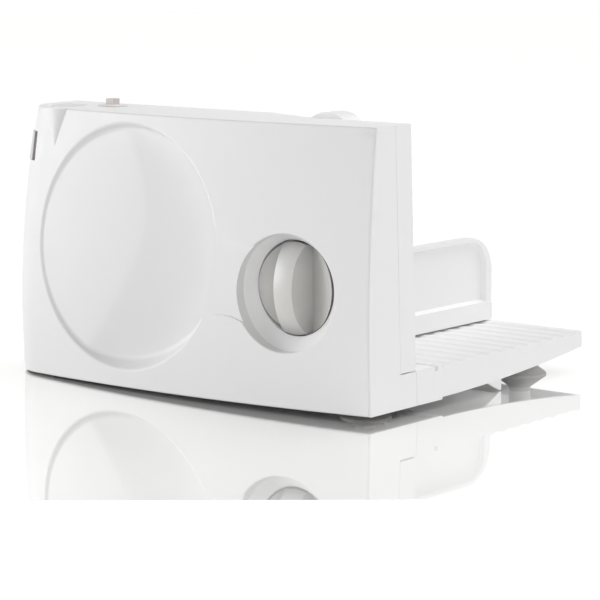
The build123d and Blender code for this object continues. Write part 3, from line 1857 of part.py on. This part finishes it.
# Pusher: spiked plate and a tall rounded grip that sits astride the wall
with BuildPart() as pusher:
    arch_x = from_end(pusher_arch_from_end)
    arch_z = pusher_top - pusher_arch_radius
    grip_near = pusher_front_depth + pusher_plate_thickness
    grip_far = grip_near + pusher_grip_length
    with BuildSketch(at_y(behind(pusher_front_depth))):
        with Locations(
            (
                (from_end(pusher_plate_from_end[0]) + from_end(pusher_plate_from_end[1])) / 2,
                (pusher_plate_heights[0] + pusher_plate_heights[1]) / 2,
            )
        ):
            RectangleRounded(
                pusher_plate_from_end[0] - pusher_plate_from_end[1],
                pusher_plate_heights[1] - pusher_plate_heights[0],
                pusher_corner,
            )
    extrude(amount=-pusher_plate_thickness)
    saddle_x = platform_end_x - pusher_saddle_gap
    for radius, step_x, foot_right, foot_left, near, far, mode in (
        (
            pusher_arch_radius,
            saddle_x,
            pusher_leg_foot,
            pusher_shoulder,
            pusher_front_depth,
            grip_far,
            Mode.ADD,
        ),
        (
            pusher_arch_radius - pusher_skin,
            saddle_x - pusher_skin,
            carriage_wall_top + pusher_saddle_gap + pusher_skin,
            pusher_shoulder + pusher_skin,
            grip_near,
            grip_far + wall,
            Mode.SUBTRACT,
        ),
    ):
        with BuildSketch(at_y(behind(near))):
            with BuildLine():
                Polyline(
                    (arch_x - radius, arch_z),
                    (arch_x - radius, foot_left),
                    (step_x, foot_left),
                    (step_x, foot_right),
                    (arch_x + radius, foot_right),
                    (arch_x + radius, arch_z),
                )
                CenterArc((arch_x, arch_z), radius, 0, 180)
            make_face()
        extrude(amount=-(far - near), mode=mode)
    cut(
        block(
            saddle_x,
            carriage_x + pusher_saddle_gap,
            face_y,
            table_end_y,
            -overrun,
            carriage_wall_top + pusher_saddle_gap,
        )
    )
    for along in pusher_pin_column_shares:
        for up in pusher_pin_row_shares:
            x = from_end(between(*pusher_plate_from_end, along))
            z = between(*pusher_plate_heights, up)
            add(
                deep_bar(
                    x,
                    z,
                    pusher_pin_radius,
                    pusher_front_depth - pusher_pin_length,
                    pusher_front_depth + wall / 2,
                )
            )
pusher.part.label = "pusher"

for built in (
    front_shell,
    inner_wall,
    blade_hood,
    base_block,
    bottom_plate,
    suction_feet,
    bottom_screws,
    wall_screw_set,
    hood_screws,
    cord_inlet,
    blade,
    drive_plate,
    blade_lock,
    blade_axle,
    axle_bush,
    worm_wheel,
    motor_shaft,
    motor_can,
    motor_end_bell,
    motor_rotor,
    motor_fan,
    motor_rings,
    knob,
    knob_spindle,
    spindle_bush,
    fence_plate,
    power_button,
    button_spring,
    power_switch,
    slide_switch,
    slide_switch_body,
    safety_button,
    safety_switch,
    switch_bracket,
    bracket_screws,
    circuit_board,
    fold_table,
    table_feet,
    hinge_pin,
    carriage_wall,
    carriage_platform,
    carriage_runner,
    carriage_screws,
    pusher,
):
    export_step(built.part, f"parts/{built.part.label}.step")
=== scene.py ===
import json
import math

import bpy
from mathutils import Matrix, Vector


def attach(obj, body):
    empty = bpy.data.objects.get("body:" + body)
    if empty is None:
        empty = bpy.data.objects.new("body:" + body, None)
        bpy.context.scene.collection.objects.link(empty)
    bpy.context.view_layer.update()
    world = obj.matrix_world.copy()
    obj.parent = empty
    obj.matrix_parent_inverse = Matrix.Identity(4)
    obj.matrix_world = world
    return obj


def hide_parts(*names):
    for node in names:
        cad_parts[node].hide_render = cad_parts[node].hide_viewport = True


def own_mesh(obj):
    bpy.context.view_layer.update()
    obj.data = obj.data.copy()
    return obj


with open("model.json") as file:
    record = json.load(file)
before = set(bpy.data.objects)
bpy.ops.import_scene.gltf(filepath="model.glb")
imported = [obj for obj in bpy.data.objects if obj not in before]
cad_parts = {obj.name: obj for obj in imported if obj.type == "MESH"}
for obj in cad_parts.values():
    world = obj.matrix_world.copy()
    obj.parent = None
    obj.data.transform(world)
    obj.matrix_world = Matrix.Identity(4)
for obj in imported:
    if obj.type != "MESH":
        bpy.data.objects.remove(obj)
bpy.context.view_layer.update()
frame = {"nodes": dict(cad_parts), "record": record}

# Camera: angles in degrees, place in metres, focal length in pixels of the square frame
AZIMUTH = 39.204
PITCH = 8.820
ROLL = -0.118
CAMERA_PLACE = (1.28942, -1.56645, 0.37501)
FOCAL_PIXELS = 2446.04
FRAME_PIXELS = 600
SENSOR_WIDTH = 36.0
CLIP_START = 0.05

# Lamps: name, place, point to look at, side of the square and power
LAMPS = (
    ("key", (-4.2, -2.8, 0.6), (0.0, -0.1, 0.1), 3.0, 205),
    ("fill", (2.6, -3.4, 1.1), (0.0, -0.1, 0.1), 2.0, 37),
    ("side", (2.4, 0.7, 0.9), (0.1, 0.0, 0.1), 1.2, 11),
    ("top", (0.6, 1.6, 2.0), (0.0, 0.1, 0.1), 1.4, 43),
)

# World: strength of its white as light on the object
WORLD_LIGHT = 0.245

# Floor: half its side, the strength of its white where nothing stands close, the reach of the
# painted contact shadow, and its matt white with the share that this has in what the camera
# sees
FLOOR_HALF = 6
FLOOR_WHITE = 1.8
FLOOR_PAINTED_SHADOW_REACH = 0.09
FLOOR_MATT = (0.92, 0.92, 0.92, 1)
FLOOR_SHADE = 0.50

# Polish: strength, tint and blur of the floor's mirror, and the straight line in front of the
# object where it ends, by the line's direction in degrees, its distance and its soft edge
POLISH_MIRROR = 0.79
POLISH_TINT = (1, 0.996, 0.988, 1)
POLISH_BLUR = 0.03
POLISH_TOWARDS = 39.204
POLISH_REACH = 0.466
POLISH_EDGE = 0.001

# Noise: scales per metre for colour and gloss, the detail of both and that of the grain, and
# the values between which the colour changes
CLOUD_SCALE = 9.0
GLOSS_SCALE = 60.0
CLOUD_DETAIL = 3.0
GRAIN_DETAIL = 2.0
RAMP_START = 0.3
RAMP_END = 0.7

# Plastic: how far the gloss varies, how strong the grain is, and how light bends
PLASTIC_GLOSS = (0.85, 1.15)
PLASTIC_BUMP = 0.25
PLASTIC_IOR = 1.49
PLAIN_SHINE = 0.5
HOUSING_SHINE = 0.3

# Grain of a plastic or rubber surface: its scale per metre and its depth
GRAIN_HOUSING = (2600.0, 0.00002)
GRAIN_CONTROL = (3200.0, 0.00003)
GRAIN_PALE = (2200.0, 0.00003)
GRAIN_DARK = (2200.0, 0.00004)
GRAIN_FOOT = (1800.0, 0.00004)
GRAIN_RUBBER = (1800.0, 0.00006)
GRAIN_BOARD = (1500.0, 0.00003)

# Metal: scale and depth of its fine lines, their darkest tone and how far the gloss varies
METAL_SCALE = 900.0
METAL_DEPTH = 0.00005
METAL_DARK = 0.88
METAL_GLOSS = (0.8, 1.3)
METAL_BUMP = 0.15

# Knob: painted shade in its hollows, by how near a surface has to be to shade it, and the
# darkest share of its colour
PAINTED_SHADE_REACH = 0.02
PAINTED_SHADE_DARKEST = 0.3

# Slide switch: height where its body ends and its cap starts, and its faint cloudiness
SLIDE_SPLIT = 0.2245
SLIDE_CLOUD = 40.0
SLIDE_DARK = 0.985

# Colour sockets of Blender's Mix node
MIX_FIRST = 6
MIX_SECOND = 7
MIX_RESULT = 2


def new_material(name):
    """A node material, with its tree and its principled shader."""
    material = bpy.data.materials.new(name)
    material.use_nodes = True
    tree = material.node_tree
    tree.nodes.clear()
    output = tree.nodes.new("ShaderNodeOutputMaterial")
    shader = tree.nodes.new("ShaderNodeBsdfPrincipled")
    tree.links.new(shader.outputs["BSDF"], output.inputs["Surface"])
    return material, tree, shader


def noise(tree, scale, detail=CLOUD_DETAIL, stretch=(1, 1, 1)):
    """Noise over the object's own coordinates, in metres."""
    place = tree.nodes.new("ShaderNodeTexCoord")
    mapping = tree.nodes.new("ShaderNodeMapping")
    mapping.inputs["Scale"].default_value = stretch
    texture = tree.nodes.new("ShaderNodeTexNoise")
    texture.inputs["Scale"].default_value = scale
    texture.inputs["Detail"].default_value = detail
    tree.links.new(place.outputs["Object"], mapping.inputs["Vector"])
    tree.links.new(mapping.outputs["Vector"], texture.inputs["Vector"])
    return texture.outputs["Fac"]


def ramp(tree, factor, low, high):
    """Colour ramp between two colours."""
    node = tree.nodes.new("ShaderNodeValToRGB")
    start, end = node.color_ramp.elements
    start.position = RAMP_START
    end.position = RAMP_END
    start.color = (*low, 1)
    end.color = (*high, 1)
    tree.links.new(factor, node.inputs["Fac"])
    return node.outputs["Color"]


def spread(tree, value, low, high, start=0.0, end=1.0):
    """Maps a value, from 0 to 1 unless start and end say otherwise, to a range."""
    node = tree.nodes.new("ShaderNodeMapRange")
    node.inputs["From Min"].default_value = start
    node.inputs["From Max"].default_value = end
    node.inputs["To Min"].default_value = low
    node.inputs["To Max"].default_value = high
    tree.links.new(value, node.inputs["Value"])
    return node.outputs["Result"]


def bump(tree, height, strength, distance):
    """Bump from a height value."""
    node = tree.nodes.new("ShaderNodeBump")
    node.inputs["Strength"].default_value = strength
    node.inputs["Distance"].default_value = distance
    tree.links.new(height, node.inputs["Height"])
    return node.outputs["Normal"]


def mix_colours(tree, first, second, blend="MIX"):
    """Mix node between two colours, still without its factor."""
    mix = tree.nodes.new("ShaderNodeMix")
    mix.data_type = "RGBA"
    mix.blend_type = blend
    tree.links.new(first, mix.inputs[MIX_FIRST])
    tree.links.new(second, mix.inputs[MIX_SECOND])
    return mix


def skin(tree, shader, rough, grain):
    """Uneven gloss and fine grain of a moulded surface."""
    grain_scale, grain_depth = grain
    gloss = spread(tree, noise(tree, GLOSS_SCALE), *(rough * share for share in PLASTIC_GLOSS))
    relief = bump(tree, noise(tree, grain_scale, GRAIN_DETAIL), PLASTIC_BUMP, grain_depth)
    tree.links.new(gloss, shader.inputs["Roughness"])
    tree.links.new(relief, shader.inputs["Normal"])


def plastic(name, colour, vary, rough, grain, shine=PLAIN_SHINE):
    """Moulded plastic or rubber, faintly cloudy."""
    material, tree, shader = new_material(name)
    low, high = ([c * share for c in colour] for share in (1 - vary, 1 + vary))
    cloud = ramp(tree, noise(tree, CLOUD_SCALE), low, high)
    tree.links.new(cloud, shader.inputs["Base Color"])
    skin(tree, shader, rough, grain)
    shader.inputs["IOR"].default_value = PLASTIC_IOR
    shader.inputs["Specular IOR Level"].default_value = shine
    return material


def painted_hollow_shade(material, reach, shade):
    """Paints shade into the material's colour where other surfaces are near, darkening it down
    to a share of it.
    """
    tree = material.node_tree
    shader = next(node for node in tree.nodes if node.type == "BSDF_PRINCIPLED")
    colour = shader.inputs["Base Color"].links[0].from_socket
    # Painted shade: ambient occlusion darkens the colour in hollows and creases
    occlusion_for_painted_shade = tree.nodes.new("ShaderNodeAmbientOcclusion")
    occlusion_for_painted_shade.inputs["Distance"].default_value = reach
    grey = spread(tree, occlusion_for_painted_shade.outputs["AO"], shade, 1.0)
    mix = mix_colours(tree, colour, grey, "MULTIPLY")
    mix.inputs["Factor"].default_value = 1.0
    tree.links.new(mix.outputs[MIX_RESULT], shader.inputs["Base Color"])
    return material


def two_tone(name, low_colour, high_colour, split, rough):
    """Plastic of one colour up to a height of the piece, and of another above it."""
    material, tree, shader = new_material(name)
    place = tree.nodes.new("ShaderNodeTexCoord")
    parts = tree.nodes.new("ShaderNodeSeparateXYZ")
    above = tree.nodes.new("ShaderNodeMath")
    above.operation = "GREATER_THAN"
    above.inputs[1].default_value = split
    tree.links.new(place.outputs["Object"], parts.inputs["Vector"])
    tree.links.new(parts.outputs["Z"], above.inputs[0])
    cloud = noise(tree, SLIDE_CLOUD)
    low_tone, high_tone = (
        ramp(tree, cloud, [c * SLIDE_DARK for c in colour], colour)
        for colour in (low_colour, high_colour)
    )
    mix = mix_colours(tree, low_tone, high_tone)
    tree.links.new(above.outputs["Value"], mix.inputs["Factor"])
    tree.links.new(mix.outputs[MIX_RESULT], shader.inputs["Base Color"])
    skin(tree, shader, rough, GRAIN_CONTROL)
    return material


def metal(name, colour, rough, stretch):
    """Ground or turned metal with fine lines along one direction."""
    material, tree, shader = new_material(name)
    lines = noise(tree, METAL_SCALE, GRAIN_DETAIL, stretch)
    tone = ramp(tree, lines, [c * METAL_DARK for c in colour], colour)
    gloss = spread(tree, lines, *(rough * share for share in METAL_GLOSS))
    relief = bump(tree, lines, METAL_BUMP, METAL_DEPTH)
    tree.links.new(tone, shader.inputs["Base Color"])
    tree.links.new(gloss, shader.inputs["Roughness"])
    tree.links.new(relief, shader.inputs["Normal"])
    shader.inputs["Metallic"].default_value = 1.0
    return material


# Each slot's material: plastics have name, colour, cloudiness, roughness and grain, and metals
# have name, colour, roughness and the stretch of their lines
MATERIALS = {
    "housing": plastic(
        "housing_white", (0.86, 0.86, 0.86), 0.006, 0.46, GRAIN_HOUSING, HOUSING_SHINE
    ),
    # The knob's grey carries painted shade in its hollows
    "knob_grey": painted_hollow_shade(
        plastic("knob_grey", (0.66, 0.655, 0.635), 0.01, 0.36, GRAIN_CONTROL),
        PAINTED_SHADE_REACH,
        PAINTED_SHADE_DARKEST,
    ),
    "control_grey": plastic("control_grey", (0.60, 0.575, 0.545), 0.01, 0.40, GRAIN_CONTROL),
    "dark_plastic": plastic("dark_plastic", (0.035, 0.035, 0.038), 0.06, 0.45, GRAIN_DARK),
    "pale_plastic": plastic("pale_plastic", (0.72, 0.70, 0.63), 0.02, 0.42, GRAIN_PALE),
    "rubber": plastic("rubber_black", (0.02, 0.02, 0.02), 0.10, 0.70, GRAIN_RUBBER),
    "foot_rubber": plastic("foot_rubber", (0.62, 0.615, 0.60), 0.03, 0.52, GRAIN_FOOT),
    "board": plastic("board_green", (0.02, 0.12, 0.05), 0.08, 0.40, GRAIN_BOARD),
    "blade_steel": metal("blade_steel", (0.70, 0.71, 0.72), 0.24, (1, 12, 1)),
    "steel": metal("plain_steel", (0.52, 0.53, 0.55), 0.34, (1, 1, 1)),
    "motor_metal": metal("motor_metal", (0.30, 0.31, 0.33), 0.45, (4, 1, 1)),
    "bronze": metal("bush_bronze", (0.50, 0.33, 0.17), 0.40, (1, 4, 1)),
}

# Pieces whose tone differs a little from that of their slot
NODE_MATERIALS = {
    "suction_feet": plastic("foot_grey", (0.20, 0.195, 0.185), 0.03, 0.55, GRAIN_FOOT),
    "slide_switch": two_tone(
        "slide_tones", (0.80, 0.79, 0.78), (0.58, 0.545, 0.525), SLIDE_SPLIT, 0.40
    ),
    "power_button": plastic("button_pale", (0.74, 0.715, 0.71), 0.01, 0.40, GRAIN_CONTROL),
    "safety_button": plastic("safety_lilac", (0.62, 0.60, 0.615), 0.01, 0.42, GRAIN_CONTROL),
}

for part in frame["record"]["subparts"]:
    name = part["node"]
    for slot in frame["nodes"][name].material_slots:
        slot.material = NODE_MATERIALS.get(name, MATERIALS[part["material_slot"]])

# The coil spring under the round button: a copy with a mesh of its own, attached to the
# machine in place of the imported one
spring_node = frame["nodes"]["button_spring"]
spring = spring_node.copy()
spring.data = spring_node.data.copy()
spring.name = "button_coil"
bpy.context.collection.objects.link(spring)
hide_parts("button_spring")
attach(spring, "machine")
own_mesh(spring)


def looked_at(tree):
    """A value that is 1 for camera, glossy and transmission rays, and 0 for the rest."""
    path = tree.nodes.new("ShaderNodeLightPath")
    value = path.outputs["Is Camera Ray"]
    for ray in ("Is Glossy Ray", "Is Transmission Ray"):
        larger = tree.nodes.new("ShaderNodeMath")
        larger.operation = "MAXIMUM"
        tree.links.new(value, larger.inputs[0])
        tree.links.new(path.outputs[ray], larger.inputs[1])
        value = larger.outputs["Value"]
    return value


def mix_shaders(tree, first, second):
    """Mix node between two shaders, still without its factor."""
    mix = tree.nodes.new("ShaderNodeMixShader")
    tree.links.new(first, mix.inputs[1])
    tree.links.new(second, mix.inputs[2])
    return mix


def polish_share(tree):
    """The mirror's strength up to the straight line in front of the object, and 0 past it."""
    place = tree.nodes.new("ShaderNodeTexCoord")
    along = tree.nodes.new("ShaderNodeVectorMath")
    along.operation = "DOT_PRODUCT"
    towards = math.radians(POLISH_TOWARDS)
    along.inputs[1].default_value = (math.sin(towards), -math.cos(towards), 0)
    tree.links.new(place.outputs["Object"], along.inputs[0])
    line = (POLISH_REACH, POLISH_REACH + POLISH_EDGE)
    return spread(tree, along.outputs["Value"], POLISH_MIRROR, 0.0, *line)


def floor_material():
    """Matt as light on the object. To look at, white with a painted contact shadow, and
    polished.
    """
    material = bpy.data.materials.new("floor")
    material.use_nodes = True
    tree = material.node_tree
    tree.nodes.clear()
    output = tree.nodes.new("ShaderNodeOutputMaterial")

    # Painted contact shadow: the floor's white dims by ambient occlusion where the object
    # stands close
    painted_shadow_occlusion = tree.nodes.new("ShaderNodeAmbientOcclusion")
    painted_shadow_occlusion.inputs["Distance"].default_value = FLOOR_PAINTED_SHADOW_REACH
    white = tree.nodes.new("ShaderNodeEmission")
    white_with_painted_shadow = spread(tree, painted_shadow_occlusion.outputs["AO"], 0.0, FLOOR_WHITE)
    tree.links.new(white_with_painted_shadow, white.inputs["Strength"])
    matt = tree.nodes.new("ShaderNodeBsdfDiffuse")
    matt.inputs["Color"].default_value = FLOOR_MATT
    gloss = tree.nodes.new("ShaderNodeBsdfGlossy")
    gloss.inputs["Color"].default_value = POLISH_TINT
    gloss.inputs["Roughness"].default_value = POLISH_BLUR

    shaded = mix_shaders(tree, white.outputs[0], matt.outputs[0])
    shaded.inputs["Fac"].default_value = FLOOR_SHADE
    polished = mix_shaders(tree, shaded.outputs[0], gloss.outputs[0])
    tree.links.new(polish_share(tree), polished.inputs["Fac"])
    seen = mix_shaders(tree, matt.outputs[0], polished.outputs[0])
    tree.links.new(looked_at(tree), seen.inputs["Fac"])
    tree.links.new(seen.outputs[0], output.inputs["Surface"])
    return material


def area_light(name, place, aim, size, power):
    """Square soft light that looks at a point."""
    data = bpy.data.lights.new(name, "AREA")
    data.shape = "SQUARE"
    data.size = size
    data.energy = power
    light = bpy.data.objects.new(name, data)
    light.location = place
    light.rotation_euler = (Vector(aim) - Vector(place)).to_track_quat("-Z", "Y").to_euler()
    bpy.context.collection.objects.link(light)


# World: white to look at, softer as light
world = bpy.data.worlds.new("studio")
world.use_nodes = True
bpy.context.scene.world = world
world_tree = world.node_tree
background = world_tree.nodes["Background"]
background.inputs["Color"].default_value = (1, 1, 1, 1)
world_strength = spread(world_tree, looked_at(world_tree), WORLD_LIGHT, 1.0)
world_tree.links.new(world_strength, background.inputs["Strength"])

# Floor: pale and polished, with the object's reflection, its shadow on the matt share and a
# painted contact shadow on the white
floor_mesh = bpy.data.meshes.new("floor")
floor_corners = [
    (x * FLOOR_HALF, y * FLOOR_HALF, 0) for x, y in ((-1, -1), (1, -1), (1, 1), (-1, 1))
]
floor_mesh.from_pydata(floor_corners, [], [(0, 1, 2, 3)])
floor = bpy.data.objects.new("floor", floor_mesh)
bpy.context.collection.objects.link(floor)
floor.data.materials.append(floor_material())

for lamp in LAMPS:
    area_light(*lamp)

# Camera from the fitted values
azimuth = math.radians(AZIMUTH)
pitch = math.radians(PITCH)
roll = math.radians(ROLL)
forward = Vector((
    -math.sin(azimuth) * math.cos(pitch),
    math.cos(azimuth) * math.cos(pitch),
    -math.sin(pitch),
))
level = Vector((math.cos(azimuth), math.sin(azimuth), 0))
upright = level.cross(forward)
right = level * math.cos(roll) + upright * math.sin(roll)
up = upright * math.cos(roll) - level * math.sin(roll)
camera_data = bpy.data.cameras.new("camera")
camera_data.sensor_fit = "HORIZONTAL"
camera_data.sensor_width = SENSOR_WIDTH
camera_data.lens = SENSOR_WIDTH * FOCAL_PIXELS / FRAME_PIXELS
camera_data.clip_start = CLIP_START
camera = bpy.data.objects.new("camera", camera_data)
turn = Matrix((right, up, -forward)).transposed().to_4x4()
camera.matrix_world = Matrix.Translation(CAMERA_PLACE) @ turn
bpy.context.collection.objects.link(camera)
bpy.context.scene.camera = camera
bpy.context.scene.view_settings.view_transform = "Standard"
